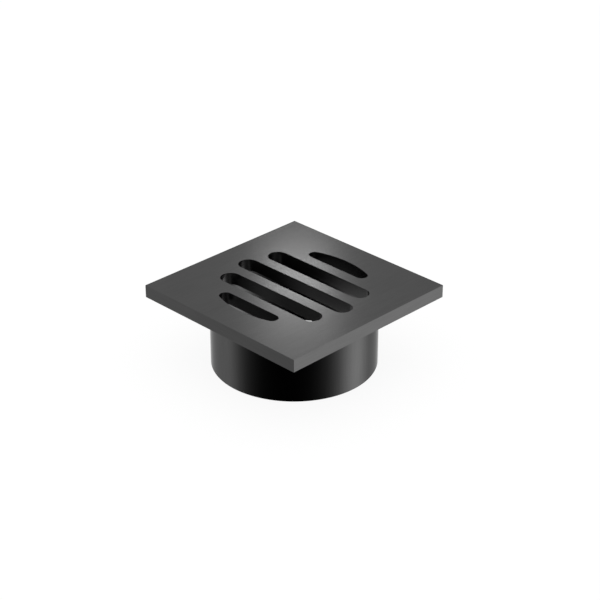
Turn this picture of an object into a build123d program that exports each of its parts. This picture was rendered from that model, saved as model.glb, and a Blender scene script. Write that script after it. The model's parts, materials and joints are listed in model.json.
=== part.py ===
from build123d import *

import math
import os

# Square floor drain grate with a round outlet tube.
# Millimetres, +Z up. The origin is the middle of the tube's lower rim, which the part stands on.
# The slots run along X, and both halves of the part mirror each other across X and across Y.

# Plate
plate_side = 100.0
plate_thickness = 6.4
plate_edge_break = 0.15

# Outlet tube
tube_outer_diameter = 81.0
tube_wall = 2.2
tube_length = 33.6
tube_rim_break = 0.1

# Slots: straight ones with full round ends, then one with a curved back on each outer side
slot_width = 9.9
bar_width = 6.0
straight_slots_each_side = 1
slot_end_ledge = 1.8
end_slot_ledge = 2.45
end_slot_back_radius = 48.0
end_slot_corner_radius = 3.1
largest_corner_share = 0.45  # of the end slot's depth, where a corner radius meets its limit

# Weld between tube and plate, in a bevel round the tube's upper end
weld_depth = 1.2

tube_outer_radius = tube_outer_diameter / 2
tube_bore_radius = tube_outer_radius - tube_wall
plate_underside = tube_length
slot_pitch = slot_width + bar_width


def straight_slot(row):
    """One slot as long as the tube's bore allows at its row, counted from the middle slot."""
    offset = row * slot_pitch
    reach = tube_bore_radius - slot_end_ledge - slot_width / 2
    half_length = math.sqrt(reach**2 - offset**2)
    return Pos(0, offset) * SlotCenterToCenter(2 * half_length, slot_width)


def end_slot():
    """The outermost slot: a straight side at the last bar, a curved back and rounded corners."""
    straight_side = straight_slots_each_side * slot_pitch + slot_width / 2 + bar_width
    back = tube_bore_radius - end_slot_ledge
    depth = back - straight_side
    disc = Pos(0, back - end_slot_back_radius) * Circle(end_slot_back_radius)
    band = Pos(0, straight_side + depth / 2) * Rectangle(2 * end_slot_back_radius, depth)
    outline = disc & band
    corner_radius = min(end_slot_corner_radius, largest_corner_share * depth)
    return fillet(outline.vertices(), corner_radius)


def slot_pattern():
    """All the slots of the plate."""
    rows = range(-straight_slots_each_side, straight_slots_each_side + 1)
    pattern = Sketch() + [straight_slot(row) for row in rows]
    outermost = end_slot()
    return pattern + outermost + mirror(outermost, about=Plane.XZ)


def grate_plate():
    """Flat square plate with its slots cut straight through, all sharp edges broken."""
    blank = extrude(Rectangle(plate_side, plate_side), plate_thickness)
    blank = chamfer(blank.edges(), plate_edge_break)
    plate = blank - extrude(slot_pattern(), plate_thickness)
    level_faces = plate.faces().filter_by(Axis.Z).sort_by(Axis.Z)
    mouths = ShapeList()
    for face in (level_faces[0], level_faces[-1]):
        for outline in face.inner_wires():
            mouths += outline.edges()
    return Pos(0, 0, plate_underside) * chamfer(mouths, plate_edge_break)


def outlet_tube():
    """Round tube with its lower rim broken inside and out, and its upper end bevelled for the weld."""
    wall = extrude(Circle(tube_outer_radius) - Circle(tube_bore_radius), tube_length)
    rims = wall.edges().group_by(Axis.Z)
    wall = chamfer(rims[0], tube_rim_break)
    upper_outer_rim = wall.edges().group_by(Axis.Z)[-1].sort_by(SortBy.RADIUS)[-1]
    return chamfer(upper_outer_rim, weld_depth)


def seam_weld():
    """Ring of weld metal that fills the tube's bevel under the plate, dressed flush with the tube."""
    corner = (tube_outer_radius, plate_underside)
    on_plate = (tube_outer_radius - weld_depth, plate_underside)
    on_tube = (tube_outer_radius, plate_underside - weld_depth)
    section = make_face(Polyline(corner, on_plate, on_tube, close=True))
    return revolve(Plane.XZ * section, Axis.Z)


pieces = {
    "grate_plate": grate_plate(),
    "outlet_tube": outlet_tube(),
    "seam_weld": seam_weld(),
}

os.makedirs("parts", exist_ok=True)
for name, piece in pieces.items():
    export_step(piece, f"parts/{name}.step")
    print(name, round(piece.volume), "mm3")
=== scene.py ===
import json
import math

import bmesh
import bpy
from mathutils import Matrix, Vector


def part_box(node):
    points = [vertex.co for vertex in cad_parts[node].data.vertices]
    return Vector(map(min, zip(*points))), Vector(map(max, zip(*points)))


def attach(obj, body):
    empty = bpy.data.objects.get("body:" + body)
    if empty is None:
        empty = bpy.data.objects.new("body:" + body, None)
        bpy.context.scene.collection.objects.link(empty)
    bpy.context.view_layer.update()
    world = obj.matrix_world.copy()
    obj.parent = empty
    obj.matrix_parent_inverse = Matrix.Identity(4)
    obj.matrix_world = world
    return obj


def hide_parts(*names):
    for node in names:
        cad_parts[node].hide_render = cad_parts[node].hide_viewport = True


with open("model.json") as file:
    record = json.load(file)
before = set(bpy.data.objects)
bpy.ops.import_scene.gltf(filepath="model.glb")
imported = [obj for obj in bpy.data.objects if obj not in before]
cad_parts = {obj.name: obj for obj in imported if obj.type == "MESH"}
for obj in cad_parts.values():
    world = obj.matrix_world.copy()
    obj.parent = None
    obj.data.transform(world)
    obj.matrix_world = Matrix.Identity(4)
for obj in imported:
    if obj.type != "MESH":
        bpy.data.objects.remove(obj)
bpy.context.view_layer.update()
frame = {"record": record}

bl_info = {
    "name": "Square Floor Drain Grate",
    "version": (1, 0, 0),
    "blender": (4, 5, 0),
    "location": "View3D > Sidebar > Floor Drain",
    "description": "Dresses a square floor drain grate in satin black metal and sets it in a white studio",
    "category": "Object",
}

BODY = "root"
MM = 0.001

# From the frame, in metres
PLATE_LOW, PLATE_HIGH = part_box("grate_plate")
TUBE_LOW, TUBE_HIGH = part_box("outlet_tube")
WELD_LOW, WELD_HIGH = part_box("seam_weld")
WELD_DEPTH = WELD_HIGH.z - WELD_LOW.z
MOUNTS = {mount["name"]: mount for mount in frame["record"]["mounts"]}
TUBE_RADIUS = MOUNTS["outlet_spigot"]["dims"]["r_mm"] * MM
BORE_RADIUS = MOUNTS["outlet_bore"]["dims"]["r_mm"] * MM

# Steps of the round forms, and faces across a broken edge
TUBE_STEPS = 256
SLOT_END_STEPS = 48
SLOT_CORNER_STEPS = 20
SLOT_BACK_STEPS = 40
ROUND_BREAK = 2
FLAT_BREAK = 1

# What counts as one place, as doubles to merge, as a sharp fold and as a round face
SAME_PLACE = 0.001 * MM
DOUBLES = 0.0002 * MM
SHARP_FOLD = math.radians(60)
ROUND_FACE = math.radians(12)

# Brush lines for each metre, across and along them, and how they are drawn
PLATE_ACROSS = 4000
PLATE_ALONG = 60
TUBE_ACROSS = 3000
TUBE_ALONG = 50
WELD_LEVEL = 900
WELD_UPRIGHT = 2500
WIDE_LINE = 3.5  # times as wide as a fine one
LINE_DETAIL = 4.0
LINE_UNEVENNESS = 0.6
LINE_LOW, LINE_HIGH = 0.3, 0.7

# Faint clouds in the finish, and how much lines and clouds change its tone and its roughness
CLOUD_SIZE = 18 * MM
CLOUD_DETAIL = 2.0
EVEN_TONE = 0.89
FINE_TONE = 0.05
WIDE_TONE = 0.07
CLOUD_TONE = 0.1
FINE_ROUGHNESS = 0.02
CLOUD_ROUGHNESS = 0.01

# Height of a face's normal, 0 on an upright face and 1 on a level one
UPRIGHT, LEANING = 0.3, 0.6
NEARLY_LEVEL, LEVEL = 0.8, 0.98
HALF_UP = 0.5

# The same along Y, where the brush lines change their direction
TURNING_TO_Y, FACING_Y = 0.6, 0.8

# The studio's colours, and how the light of the mirrored room ends
WHITE = (1, 1, 1, 1)
FLOOR_PAINT = (0.85, 0.85, 0.85, 1)
ROOM_UPPER_EDGE = math.radians(25)
FALLOFF_POWER = 4.0

# The studio's sizes in metres, but the sensor's width in millimetres
SENSOR_WIDTH = 36
NEAREST_VIEW = 0.01
FLOOR_SIDE = 12.0
TOP_LAMP_HEIGHT = 1.6
TOP_LAMP_SIZE = (2.4, 2.4)
BACK_LAMP_DISTANCE = 10.0
BACK_LAMP_SIZE = (0.37, 0.04)
GLOW_SIZE = (0.54, 0.71)


def number(name, description, default, **settings):
    """A property that holds one number."""
    return bpy.props.FloatProperty(name=name, description=description, default=default, **settings)


def length(name, description, default):
    """A length property in metres."""
    return number(name, description, default, min=0.0, precision=5, unit="LENGTH", subtype="DISTANCE")


def factor(name, description, default, highest=1.0):
    """A property without a unit, from 0 to a highest value."""
    return number(name, description, default, min=0.0, max=highest)


def angle(name, description, degrees):
    """An angle property, its default given in degrees."""
    return number(name, description, math.radians(degrees), unit="ROTATION", subtype="ANGLE")


def power(name, description, watts):
    """A lamp's power."""
    return number(name, description, watts, min=0.0, unit="POWER")


def colour(name, description, grey):
    """A colour property whose default is a neutral grey."""
    limits = {"min": 0.0, "max": 1.0}
    return bpy.props.FloatVectorProperty(
        name=name, description=description, default=(grey, grey, grey), size=3, subtype="COLOR", **limits
    )


class DrainSizes(bpy.types.PropertyGroup):
    """Sizes of the grate that the frame's boxes don't give"""

    edge_break: length("Edge break", "Width of the broken edges of the plate and of its slots", 0.06 * MM)
    rim_break: length("Rim break", "Width of the broken edges of the tube's lower rim", 0.1 * MM)
    slot_width: length("Slot width", "Width of the straight slots", 9.9 * MM)
    bar_width: length("Bar width", "Width of the bars between the slots", 6.0 * MM)
    slot_ledge: length("Slot ledge", "From the tube's bore to the ends of the straight slots", 1.8 * MM)
    end_slot_ledge: length("End slot ledge", "From the tube's bore to the back of the end slots", 2.45 * MM)
    end_slot_back: length("End slot back radius", "Radius of the curved back of the end slots", 48.0 * MM)
    end_slot_corner: length("End slot corner radius", "Radius of the end slots' two corners", 3.1 * MM)


class DrainFinish(bpy.types.PropertyGroup):
    """Colour and gloss of the satin black metal"""

    metal: colour("Metal", "Colour of the coated metal seen square on", 0.1)
    edge_metal: colour("Edge metal", "Colour where the coating thins along the broken edges", 0.12)
    grazing_tint: colour("Grazing tint", "How bright the metal gets where it is seen at a flat angle", 0.62)
    roughness: factor("Roughness", "Mean roughness of the brushed surfaces", 0.117)
    plain_roughness: factor("Plain roughness", "Mean roughness of slot walls, underside and bore", 0.26)
    plain_lift: factor("Plain lift", "How much more those faces mirror than the brushed ones", 0.08)
    weld_roughness: factor("Weld roughness", "Mean roughness of the dressed weld", 0.3)
    brush_depth: length("Brush depth", "Depth of the fine brush lines", 0.0006 * MM)
    wide_lines: factor("Wide lines", "Depth of the wide brush lines against the fine ones", 0.8, 10)


class DrainStudio(bpy.types.PropertyGroup):
    """Camera, floor and light; the edges of the room's light are counted round from the camera"""

    camera_azimuth: angle("Camera azimuth", "Direction of the camera round the grate", 44.986)
    camera_elevation: angle("Camera elevation", "Height of the camera above the horizon", 28.201)
    camera_distance: length("Camera distance", "From the camera to its target", 0.829)
    camera_target: bpy.props.FloatVectorProperty(
        name="Camera target",
        description="Point that the camera looks at",
        default=(0.00429, -0.00039, 0.03377),
        size=3,
        unit="LENGTH",
        subtype="TRANSLATION",
    )
    camera_lens: number("Camera lens", "Focal length on a 36 mm sensor", 104.73, min=1.0, unit="CAMERA")
    shadow_share: factor("Shadow share", "How much of the grate's shadow the white floor keeps", 0.1)
    upper_level: factor("Upper level", "Mirrored brightness of the room above the horizon", 0.76, 10)
    lower_level: factor("Lower level", "Mirrored brightness low down, at the sides and behind", 0.8, 10)
    front_edge: angle("Front edge", "Where that low light starts, on both sides", 105.0)
    panel_level: factor("Panel level", "Extra brightness of the light panel on the right", 0.97, 10)
    panel_front: angle("Panel front", "Front edge of the light panel", 88.0)
    panel_back: angle("Panel back", "Where the light panel has faded out", 128.0)
    falloff: angle("Falloff", "How softly the light ends towards the camera's side", 50.0)
    back_lamp_elevation: angle("Back lamp elevation", "Height of the narrow lamp behind the grate", 27.46)
    back_lamp_power: power("Back lamp power", "Power of the narrow lamp behind the grate", 1.43)
    glow_elevation: angle("Glow elevation", "Height of the soft lamp round that one", 28.58)
    glow_power: power("Glow power", "Power of the soft lamp round that one", 0.83)
    back_lamp_turn: angle("Back lamp turn", "How far both stand to the camera's left", 0.075)
    top_lamp_power: power("Top lamp power", "Power of the soft lamp above the grate", 7.0)


def deselect_everything():
    """Nothing is selected, in object mode."""
    if bpy.context.object and bpy.context.object.mode != "OBJECT":
        bpy.ops.object.mode_set(mode="OBJECT")
    bpy.ops.object.select_all(action="DESELECT")


def make_active(obj):
    """Selects one object alone and makes it active."""
    deselect_everything()
    obj.select_set(True)
    bpy.context.view_layer.objects.active = obj


def near(value, target):
    """True where two lengths are the same."""
    return abs(value - target) < SAME_PLACE


def lies_at(edge, *heights):
    """True where each end of an edge lies at one of the heights."""
    return all(any(near(end.co.z, height) for height in heights) for end in edge.verts)


def select_edges(obj, test):
    """In edit mode, selects the edges that pass a test."""
    bpy.ops.mesh.select_mode(type="EDGE")
    bpy.ops.mesh.select_all(action="DESELECT")
    work = bmesh.from_edit_mesh(obj.data)
    for edge in work.edges:
        edge.select_set(test(edge))
    bmesh.update_edit_mesh(obj.data)


def finish_mesh(obj, material):
    """Merges doubles, turns the faces outwards, smooths the round faces and gives the material."""
    make_active(obj)
    bpy.ops.object.mode_set(mode="EDIT")
    bpy.ops.mesh.select_all(action="SELECT")
    bpy.ops.mesh.remove_doubles(threshold=DOUBLES)
    bpy.ops.mesh.normals_make_consistent(inside=False)
    bpy.ops.object.mode_set(mode="OBJECT")
    bpy.ops.object.shade_smooth_by_angle(angle=ROUND_FACE)
    obj.data.materials.clear()
    obj.data.materials.append(material)


def start_outline(name, start):
    """Begins an outline with one vertex, a merged triangle that is left selected in edit mode."""
    deselect_everything()
    bpy.ops.mesh.primitive_circle_add(vertices=3, radius=MM, location=(0, 0, 0))
    outline = bpy.context.object
    outline.name = name
    bpy.ops.object.mode_set(mode="EDIT")
    bpy.ops.mesh.select_mode(type="VERT")
    bpy.ops.mesh.select_all(action="SELECT")
    bpy.ops.mesh.merge(type="CENTER")
    bpy.ops.transform.translate(value=start)
    return outline


def draw_line(offset):
    """Goes on with the outline in a straight line."""
    bpy.ops.mesh.extrude_vertices_move(TRANSFORM_OT_translate={"value": offset})


def draw_arc(centre, turn, steps):
    """Goes on with the outline round a centre, anticlockwise seen from above."""
    bpy.ops.mesh.spin(steps=steps, dupli=False, angle=turn, center=centre, axis=(0, 0, -1))


def close_outline():
    """Merges the outline's last vertex with its first."""
    bpy.ops.mesh.select_all(action="SELECT")
    bpy.ops.mesh.remove_doubles(threshold=SAME_PLACE)


def close_into_cutter(outline, height):
    """Closes the outline and raises it into a solid block."""
    close_outline()
    bpy.ops.mesh.edge_face_add()
    bpy.ops.mesh.extrude_region_move(TRANSFORM_OT_translate={"value": (0, 0, height)})
    bpy.ops.mesh.select_all(action="SELECT")
    bpy.ops.mesh.normals_make_consistent(inside=False)
    bpy.ops.object.mode_set(mode="OBJECT")
    return outline


def straight_cutter(sizes, row, low, height):
    """Block of one straight slot with full round ends, counted in rows from the middle."""
    radius = sizes.slot_width / 2
    offset = row * (sizes.slot_width + sizes.bar_width)
    reach = BORE_RADIUS - sizes.slot_ledge - radius
    half = math.sqrt(reach**2 - offset**2)
    outline = start_outline(f"straight_cutter_{row}", (half, offset - radius, low))
    draw_arc((half, offset, low), math.pi, SLOT_END_STEPS)
    draw_line((-2 * half, 0, 0))
    draw_arc((-half, offset, low), math.pi, SLOT_END_STEPS)
    return close_into_cutter(outline, height)


def end_cutter(sizes, side, low, height):
    """Block of one end slot: a straight side, two round corners and a curved back."""
    pitch = sizes.slot_width + sizes.bar_width
    straight = pitch + sizes.slot_width / 2 + sizes.bar_width
    back = BORE_RADIUS - sizes.end_slot_ledge
    arc_centre = back - sizes.end_slot_back
    corner = sizes.end_slot_corner
    corner_y = straight + corner
    corner_x = math.sqrt((sizes.end_slot_back - corner) ** 2 - (corner_y - arc_centre) ** 2)
    lean = math.atan2(corner_x, corner_y - arc_centre)
    outline = start_outline(f"end_cutter_{side}", (side * corner_x, side * straight, low))
    draw_arc((side * corner_x, side * corner_y, low), math.pi - lean, SLOT_CORNER_STEPS)
    draw_arc((0, side * arc_centre, low), 2 * lean, SLOT_BACK_STEPS)
    draw_arc((-side * corner_x, side * corner_y, low), math.pi - lean, SLOT_CORNER_STEPS)
    return close_into_cutter(outline, height)


def cut_away(block, cutters):
    """Cuts a list of blocks out of a piece and deletes them."""
    make_active(cutters[0])
    for cutter in cutters:
        cutter.select_set(True)
    bpy.ops.object.join()
    joined = bpy.context.object
    make_active(block)
    bpy.ops.object.modifier_add(type="BOOLEAN")
    cut = block.modifiers[-1]
    cut.operation = "DIFFERENCE"
    cut.solver = "EXACT"
    cut.object = joined
    bpy.ops.object.modifier_apply(modifier=cut.name)
    bpy.data.objects.remove(joined)


def break_slot_edges(plate, sizes):
    """Bevels the mouths of the slots on the plate's top and underside."""

    def slot_mouth(edge):
        """True along the rim of a slot."""
        level = lies_at(edge, PLATE_LOW.z, PLATE_HIGH.z)
        return level and len(edge.link_faces) == 2 and edge.calc_face_angle() > SHARP_FOLD

    make_active(plate)
    bpy.ops.object.mode_set(mode="EDIT")
    select_edges(plate, slot_mouth)
    bpy.ops.mesh.bevel(offset=sizes.edge_break, segments=FLAT_BREAK, affect="EDGES")
    bpy.ops.object.mode_set(mode="OBJECT")


def model_plate(sizes):
    """The square plate with its slots, all edges broken."""
    deselect_everything()
    middle = (PLATE_LOW + PLATE_HIGH) / 2
    bpy.ops.mesh.primitive_cube_add(size=1, location=middle, scale=PLATE_HIGH - PLATE_LOW)
    plate = bpy.context.object
    plate.name = "slotted_plate"
    bpy.ops.object.transform_apply(location=True, rotation=False, scale=True)
    bpy.ops.object.mode_set(mode="EDIT")
    bpy.ops.mesh.select_all(action="SELECT")
    bpy.ops.mesh.bevel(offset=sizes.edge_break, segments=ROUND_BREAK, affect="EDGES")
    bpy.ops.object.mode_set(mode="OBJECT")
    thickness = PLATE_HIGH.z - PLATE_LOW.z
    low, height = PLATE_LOW.z - thickness, 3 * thickness
    cutters = [straight_cutter(sizes, row, low, height) for row in (-1, 0, 1)]
    cutters += [end_cutter(sizes, side, low, height) for side in (-1, 1)]
    cut_away(plate, cutters)
    break_slot_edges(plate, sizes)
    return plate


def model_tube(sizes):
    """The round outlet tube: a ring drawn up, given its wall, and its rims broken."""

    def upper_outer_rim(edge):
        """True round the tube's outer edge under the plate."""
        return lies_at(edge, TUBE_HIGH.z) and all(near(end.co.xy.length, TUBE_RADIUS) for end in edge.verts)

    deselect_everything()
    bpy.ops.mesh.primitive_circle_add(vertices=TUBE_STEPS, radius=TUBE_RADIUS, location=(0, 0, TUBE_LOW.z))
    tube = bpy.context.object
    tube.name = "drain_tube"
    bpy.ops.object.transform_apply(location=True, rotation=False, scale=False)
    bpy.ops.object.mode_set(mode="EDIT")
    bpy.ops.mesh.select_all(action="SELECT")
    bpy.ops.mesh.extrude_region_move(TRANSFORM_OT_translate={"value": (0, 0, TUBE_HIGH.z - TUBE_LOW.z)})
    bpy.ops.mesh.select_all(action="SELECT")
    bpy.ops.mesh.normals_make_consistent(inside=False)
    bpy.ops.object.mode_set(mode="OBJECT")
    bpy.ops.object.modifier_add(type="SOLIDIFY")
    shell = tube.modifiers[-1]
    shell.thickness = TUBE_RADIUS - BORE_RADIUS
    shell.offset = -1
    shell.use_even_offset = True
    bpy.ops.object.modifier_apply(modifier=shell.name)
    bpy.ops.object.mode_set(mode="EDIT")
    select_edges(tube, lambda edge: lies_at(edge, TUBE_LOW.z))
    bpy.ops.mesh.region_to_loop()
    bpy.ops.mesh.bevel(offset=sizes.rim_break, segments=ROUND_BREAK, affect="EDGES")
    select_edges(tube, upper_outer_rim)
    bpy.ops.mesh.bevel(offset=WELD_DEPTH, segments=FLAT_BREAK, affect="EDGES")
    bpy.ops.object.mode_set(mode="OBJECT")
    return tube


def model_weld():
    """The ring of weld metal in the tube's bevel: a three-cornered section spun round the tube."""
    weld = start_outline("weld_ring", (TUBE_RADIUS, 0, WELD_HIGH.z))
    draw_line((-WELD_DEPTH, 0, 0))
    draw_line((WELD_DEPTH, 0, -WELD_DEPTH))
    draw_line((0, 0, WELD_DEPTH))
    close_outline()
    bpy.ops.mesh.spin(steps=TUBE_STEPS, dupli=False, angle=2 * math.pi, center=(0, 0, 0), axis=(0, 0, 1))
    bpy.ops.object.mode_set(mode="OBJECT")
    return weld


def node_tree_of(owner):
    """The emptied node tree of a material or world."""
    owner.use_nodes = True
    owner.node_tree.nodes.clear()
    return owner.node_tree


def add_node(tree, kind, inputs=None, **settings):
    """Adds a node, sets its attributes, and links or sets its inputs by name or number."""
    node = tree.nodes.new(kind)
    for name, value in settings.items():
        setattr(node, name, value)
    for key, value in (inputs or {}).items():
        if isinstance(value, bpy.types.NodeSocket):
            tree.links.new(value, node.inputs[key])
        else:
            node.inputs[key].default_value = value
    return node


def math_node(tree, operation, *values):
    """The result of a math node."""
    return add_node(tree, "ShaderNodeMath", dict(enumerate(values)), operation=operation).outputs[0]


def vector_node(tree, operation, *values):
    """A vector math node, whose result is its Vector or its Value."""
    return add_node(tree, "ShaderNodeVectorMath", dict(enumerate(values)), operation=operation)


def shader_node(tree, kind, inputs=None):
    """The result of a shader node."""
    return add_node(tree, kind, inputs).outputs[0]


def add_shares(tree, start, *parts):
    """start plus a share of each value, given in pairs."""
    for value, share in parts:
        start = math_node(tree, "MULTIPLY_ADD", value, share, start)
    return start


def fade(tree, value, start, end, low=0.0, high=1.0):
    """A smooth step from low to high as the value goes from start to end."""
    inputs = {"Value": value, "From Min": start, "From Max": end, "To Min": low, "To Max": high}
    return add_node(tree, "ShaderNodeMapRange", inputs, interpolation_type="SMOOTHSTEP").outputs["Result"]


def mix_values(tree, share, first, second):
    """first where share is 0, second where it is 1."""
    inputs = {"Factor": share, "A": first, "B": second}
    return add_node(tree, "ShaderNodeMix", inputs, data_type="FLOAT").outputs["Result"]


def mix_colours(tree, share, first, second):
    """The same for two colours that are the same all over."""
    node = add_node(tree, "ShaderNodeMix", {"Factor": share}, data_type="RGBA")
    sockets = [socket for socket in node.inputs if socket.type == "RGBA"]
    for socket, value in zip(sockets, (first, second)):
        socket.default_value = (*value, 1.0)
    return next(socket for socket in node.outputs if socket.type == "RGBA")


def mix_shaders(tree, share, first, second):
    """The same for two shaders."""
    return shader_node(tree, "ShaderNodeMixShader", {0: share, 1: first, 2: second})


def streaks(tree, place, scale):
    """Noise drawn out into brush lines: the scale is in lines for each metre along X, Y and Z."""
    drawn_out = add_node(tree, "ShaderNodeMapping", {"Vector": place, "Scale": scale}).outputs["Vector"]
    inputs = {"Vector": drawn_out, "Scale": 1.0, "Detail": LINE_DETAIL, "Roughness": LINE_UNEVENNESS}
    return fade(tree, add_node(tree, "ShaderNodeTexNoise", inputs).outputs["Fac"], LINE_LOW, LINE_HIGH)


def plate_lines(tree, place, facing, width):
    """Brush lines along Y on the top and the X sides, along X on the Y sides and the slots' long walls."""
    across = PLATE_ACROSS / width
    along_y = streaks(tree, place, (across, PLATE_ALONG, across))
    along_x = streaks(tree, place, (PLATE_ALONG, across, across))
    on_y_side = fade(tree, math_node(tree, "ABSOLUTE", facing.outputs["Y"]), TURNING_TO_Y, FACING_Y)
    return mix_values(tree, on_y_side, along_y, along_x)


def tube_lines(tree, place, facing, width):
    """Drawing lines along the tube."""
    return streaks(tree, place, (TUBE_ACROSS / width, TUBE_ACROSS / width, TUBE_ALONG))


def weld_lines(tree, place, facing, width):
    """Fine uneven marks of the dressed weld."""
    return streaks(tree, place, (WELD_LEVEL / width, WELD_LEVEL / width, WELD_UPRIGHT / width))


def unbrushed_plate(tree, place, facing):
    """1 on the slots' walls and the underside, 0 on the plate's top and outer sides."""
    absolute = vector_node(tree, "ABSOLUTE", place).outputs["Vector"]
    parts = add_node(tree, "ShaderNodeSeparateXYZ", {"Vector": absolute})
    farthest = math_node(tree, "MAXIMUM", parts.outputs["X"], parts.outputs["Y"])
    inside = math_node(tree, "LESS_THAN", farthest, PLATE_HIGH.x - MM)
    not_up = math_node(tree, "LESS_THAN", facing.outputs["Z"], HALF_UP)
    down = math_node(tree, "LESS_THAN", facing.outputs["Z"], -HALF_UP)
    return math_node(tree, "MAXIMUM", math_node(tree, "MULTIPLY", inside, not_up), down)


def unbrushed_bore(tree, place, facing):
    """1 on the tube's inner wall, 0 outside."""
    level = vector_node(tree, "MULTIPLY", place, (1, 1, 0)).outputs["Vector"]
    radius = vector_node(tree, "LENGTH", level).outputs["Value"]
    return math_node(tree, "LESS_THAN", radius, (TUBE_RADIUS + BORE_RADIUS) / 2)


def broken_edges(tree, facing):
    """1 on faces that lean as a broken edge does, 0 on upright and level ones."""
    height = math_node(tree, "ABSOLUTE", facing.outputs["Z"])
    leaning = fade(tree, height, UPRIGHT, LEANING)
    return math_node(tree, "MULTIPLY", leaning, fade(tree, height, LEVEL, NEARLY_LEVEL))


def satin_metal(name, finish, roughness, lines, plain_faces=None):
    """Satin black metal: brush lines, faint clouds, lighter broken edges, and rougher plain faces."""
    material = bpy.data.materials.new(name)
    tree = node_tree_of(material)
    coordinates = add_node(tree, "ShaderNodeTexCoord")
    place = coordinates.outputs["Object"]
    facing = add_node(tree, "ShaderNodeSeparateXYZ", {"Vector": coordinates.outputs["Normal"]})
    fine = lines(tree, place, facing, 1.0)
    wide = lines(tree, place, facing, WIDE_LINE)
    cloud_inputs = {"Vector": place, "Scale": 1 / CLOUD_SIZE, "Detail": CLOUD_DETAIL}
    clouds = add_node(tree, "ShaderNodeTexNoise", cloud_inputs).outputs["Fac"]
    tone = add_shares(tree, EVEN_TONE, (fine, FINE_TONE), (wide, WIDE_TONE), (clouds, CLOUD_TONE))
    lowest = roughness - (FINE_ROUGHNESS + CLOUD_ROUGHNESS) / 2
    rough = add_shares(tree, lowest, (fine, FINE_ROUGHNESS), (clouds, CLOUD_ROUGHNESS))
    if plain_faces:
        plain = plain_faces(tree, place, facing)
        tone = add_shares(tree, tone, (plain, finish.plain_lift))
        rough = add_shares(tree, rough, (plain, finish.plain_roughness - roughness))
    metal = mix_colours(tree, broken_edges(tree, facing), finish.metal, finish.edge_metal)
    toned = add_node(tree, "ShaderNodeVectorMath", {0: metal, "Scale": tone}, operation="SCALE")
    relief = add_shares(tree, fine, (wide, finish.wide_lines))
    bump_inputs = {"Height": relief, "Distance": finish.brush_depth, "Strength": 1.0}
    bump = add_node(tree, "ShaderNodeBump", bump_inputs)
    surface = shader_node(
        tree,
        "ShaderNodeBsdfPrincipled",
        {
            "Base Color": toned.outputs["Vector"],
            "Metallic": 1.0,
            "Roughness": rough,
            "Specular Tint": (*finish.grazing_tint, 1.0),
            "Normal": bump.outputs["Normal"],
        },
    )
    add_node(tree, "ShaderNodeOutputMaterial", {"Surface": surface})
    return material


def camera_direction(studio):
    """Unit vector from the target to the camera."""
    out = math.cos(studio.camera_elevation)
    return Vector(
        (
            math.sin(studio.camera_azimuth) * out,
            -math.cos(studio.camera_azimuth) * out,
            math.sin(studio.camera_elevation),
        )
    )


def level_directions(studio):
    """Level unit vectors towards the camera and to the camera's right."""
    toward = camera_direction(studio)
    front = Vector((toward.x, toward.y, 0)).normalized()
    return front, Vector((-front.y, front.x, 0))


def set_camera(studio):
    """The camera at the photograph's viewing angle."""
    toward = camera_direction(studio)
    place = Vector(studio.camera_target) + toward * studio.camera_distance
    bpy.ops.object.camera_add(location=place)
    camera = bpy.context.object
    camera.name = "camera"
    camera.rotation_mode = "QUATERNION"
    camera.rotation_quaternion = (-toward).to_track_quat("-Z", "Y")
    camera.data.lens = studio.camera_lens
    camera.data.sensor_width = SENSOR_WIDTH
    camera.data.clip_start = NEAREST_VIEW
    bpy.context.scene.camera = camera


def floor_surface(studio):
    """White to the camera with a share of the real shadow, plain pale to other rays, clear from below."""
    material = bpy.data.materials.new("pale_floor")
    tree = node_tree_of(material)
    pale = shader_node(tree, "ShaderNodeBsdfDiffuse", {"Color": FLOOR_PAINT})
    shaded = shader_node(tree, "ShaderNodeBsdfDiffuse", {"Color": WHITE})
    white = shader_node(tree, "ShaderNodeEmission", {"Color": WHITE, "Strength": 1.0})
    clear = shader_node(tree, "ShaderNodeBsdfTransparent")
    seen = mix_shaders(tree, studio.shadow_share, white, shaded)
    is_seen = add_node(tree, "ShaderNodeLightPath").outputs["Is Camera Ray"]
    from_below = add_node(tree, "ShaderNodeNewGeometry").outputs["Backfacing"]
    surface = mix_shaders(tree, from_below, mix_shaders(tree, is_seen, pale, seen), clear)
    add_node(tree, "ShaderNodeOutputMaterial", {"Surface": surface})
    return material


def set_floor(studio):
    """A wide pale floor under the grate, which the metal doesn't mirror."""
    bpy.ops.mesh.primitive_plane_add(size=FLOOR_SIDE, location=(0, 0, TUBE_LOW.z))
    floor = bpy.context.object
    floor.name = "floor"
    floor.data.materials.append(floor_surface(studio))
    floor.visible_glossy = False


def add_softbox(name, place, size, watts):
    """One rectangular lamp that faces the grate."""
    bpy.ops.object.light_add(type="AREA", location=place)
    lamp = bpy.context.object
    lamp.name = name
    lamp.rotation_mode = "QUATERNION"
    lamp.rotation_quaternion = (-place).to_track_quat("-Z", "Y")
    lamp.data.shape = "RECTANGLE"
    lamp.data.size, lamp.data.size_y = size
    lamp.data.energy = watts


def set_lamps(studio):
    """A large soft lamp above the grate, and two far behind it for the highlight on the plate."""
    add_softbox("top_softbox", Vector((0, 0, TOP_LAMP_HEIGHT)), TOP_LAMP_SIZE, studio.top_lamp_power)
    front, right = level_directions(studio)
    away = front * math.cos(studio.back_lamp_turn) + right * math.sin(studio.back_lamp_turn)
    for name, elevation, size, watts in (
        ("back_softbox", studio.back_lamp_elevation, BACK_LAMP_SIZE, studio.back_lamp_power),
        ("back_glow", studio.glow_elevation, GLOW_SIZE, studio.glow_power),
    ):
        way = Vector((0, 0, math.sin(elevation))) - away * math.cos(elevation)
        add_softbox(name, way * BACK_LAMP_DISTANCE + Vector((0, 0, PLATE_HIGH.z)), size, watts)


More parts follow.
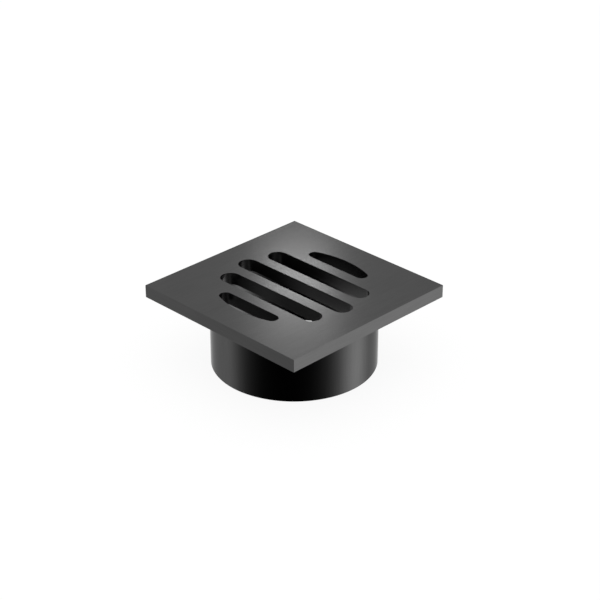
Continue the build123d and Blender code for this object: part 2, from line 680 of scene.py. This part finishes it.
def soft_start(tree, turn, edge, falloff):
    """1 from an edge onwards, and a long soft fall to 0 before it."""
    short = math_node(tree, "MAXIMUM", math_node(tree, "SUBTRACT", edge, turn), 0.0)
    squared = math_node(tree, "POWER", math_node(tree, "DIVIDE", short, falloff), 2.0)
    widened = math_node(tree, "POWER", math_node(tree, "ADD", squared, 1.0), FALLOFF_POWER)
    return math_node(tree, "DIVIDE", 1.0, widened)


def room_brightness(tree, studio):
    """A pale room with a light panel on the camera's right, dark low down in front."""
    way = add_node(tree, "ShaderNodeTexCoord").outputs["Generated"]
    front, right = (
        vector_node(tree, "DOT_PRODUCT", way, direction).outputs["Value"]
        for direction in level_directions(studio)
    )
    turn = math_node(tree, "ARCTAN2", right, front)
    sides = soft_start(tree, math_node(tree, "ABSOLUTE", turn), studio.front_edge, studio.falloff)
    panel_start = soft_start(tree, turn, studio.panel_front, studio.falloff)
    panel_end = fade(tree, turn, studio.panel_back, studio.panel_front, 0.0, studio.panel_level)
    panel = math_node(tree, "MULTIPLY", panel_start, panel_end)
    below = add_shares(tree, panel, (sides, studio.lower_level))
    height = add_node(tree, "ShaderNodeSeparateXYZ", {"Vector": way}).outputs["Z"]
    above = fade(tree, height, 0.0, math.sin(ROOM_UPPER_EDGE))
    return mix_values(tree, above, below, studio.upper_level)


def studio_world(studio):
    """White behind the grate; the metal mirrors the room instead."""
    world = bpy.data.worlds.new("studio")
    bpy.context.scene.world = world
    tree = node_tree_of(world)
    white = shader_node(tree, "ShaderNodeBackground", {"Color": WHITE, "Strength": 1.0})
    brightness = room_brightness(tree, studio)
    room = shader_node(tree, "ShaderNodeBackground", {"Color": WHITE, "Strength": brightness})
    is_mirrored = add_node(tree, "ShaderNodeLightPath").outputs["Is Glossy Ray"]
    add_node(tree, "ShaderNodeOutputWorld", {"Surface": mix_shaders(tree, is_mirrored, white, room)})


class DRAIN_OT_plate(bpy.types.Operator):
    """Model the slotted square plate and give it its brushed finish"""

    bl_idname = "floor_drain.plate"
    bl_label = "Slotted Plate"
    bl_options = {"REGISTER", "UNDO"}

    def execute(self, context):
        finish = context.scene.drain_finish
        plate = model_plate(context.scene.drain_sizes)
        metal = satin_metal("plate_satin_black", finish, finish.roughness, plate_lines, unbrushed_plate)
        finish_mesh(plate, metal)
        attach(plate, BODY)
        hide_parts("grate_plate")
        return {"FINISHED"}


class DRAIN_OT_tube(bpy.types.Operator):
    """Model the round outlet tube and give it its drawn finish"""

    bl_idname = "floor_drain.tube"
    bl_label = "Outlet Tube"
    bl_options = {"REGISTER", "UNDO"}

    def execute(self, context):
        finish = context.scene.drain_finish
        tube = model_tube(context.scene.drain_sizes)
        metal = satin_metal("tube_satin_black", finish, finish.roughness, tube_lines, unbrushed_bore)
        finish_mesh(tube, metal)
        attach(tube, BODY)
        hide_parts("outlet_tube")
        return {"FINISHED"}


class DRAIN_OT_weld(bpy.types.Operator):
    """Model the dressed weld between the tube and the plate"""

    bl_idname = "floor_drain.weld"
    bl_label = "Seam Weld"
    bl_options = {"REGISTER", "UNDO"}

    def execute(self, context):
        finish = context.scene.drain_finish
        weld = model_weld()
        metal = satin_metal("weld_satin_black", finish, finish.weld_roughness, weld_lines)
        finish_mesh(weld, metal)
        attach(weld, BODY)
        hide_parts("seam_weld")
        return {"FINISHED"}


class DRAIN_OT_stage(bpy.types.Operator):
    """Set the camera, the pale floor, the soft lamps and the white surroundings"""

    bl_idname = "floor_drain.stage"
    bl_label = "Studio"
    bl_options = {"REGISTER", "UNDO"}

    def execute(self, context):
        studio = context.scene.drain_studio
        deselect_everything()
        set_camera(studio)
        set_floor(studio)
        set_lamps(studio)
        studio_world(studio)
        context.scene.view_settings.view_transform = "Standard"
        return {"FINISHED"}


class DRAIN_PT_panel(bpy.types.Panel):
    """Lists the grate's pieces, sizes, finish and studio"""

    bl_idname = "DRAIN_PT_panel"
    bl_label = "Floor Drain Grate"
    bl_space_type = "VIEW_3D"
    bl_region_type = "UI"
    bl_category = "Floor Drain"

    def draw(self, context):
        layout = self.layout
        for operator in OPERATORS:
            layout.operator(operator.bl_idname)
        for group in (context.scene.drain_sizes, context.scene.drain_finish, context.scene.drain_studio):
            box = layout.box()
            for name in group.__annotations__:
                box.prop(group, name)


OPERATORS = (DRAIN_OT_plate, DRAIN_OT_tube, DRAIN_OT_weld, DRAIN_OT_stage)
CLASSES = (DrainSizes, DrainFinish, DrainStudio, *OPERATORS, DRAIN_PT_panel)


def register():
    """Registers the classes and puts the settings on the scene."""
    for cls in CLASSES:
        bpy.utils.register_class(cls)
    bpy.types.Scene.drain_sizes = bpy.props.PointerProperty(type=DrainSizes)
    bpy.types.Scene.drain_finish = bpy.props.PointerProperty(type=DrainFinish)
    bpy.types.Scene.drain_studio = bpy.props.PointerProperty(type=DrainStudio)


def unregister():
    """Takes the settings and the classes away again."""
    del bpy.types.Scene.drain_studio
    del bpy.types.Scene.drain_finish
    del bpy.types.Scene.drain_sizes
    for cls in reversed(CLASSES):
        bpy.utils.unregister_class(cls)


def main():
    """Makes every piece and the studio."""
    register()
    bpy.ops.floor_drain.plate()
    bpy.ops.floor_drain.tube()
    bpy.ops.floor_drain.weld()
    bpy.ops.floor_drain.stage()


if __name__ == "__main__":
    main()
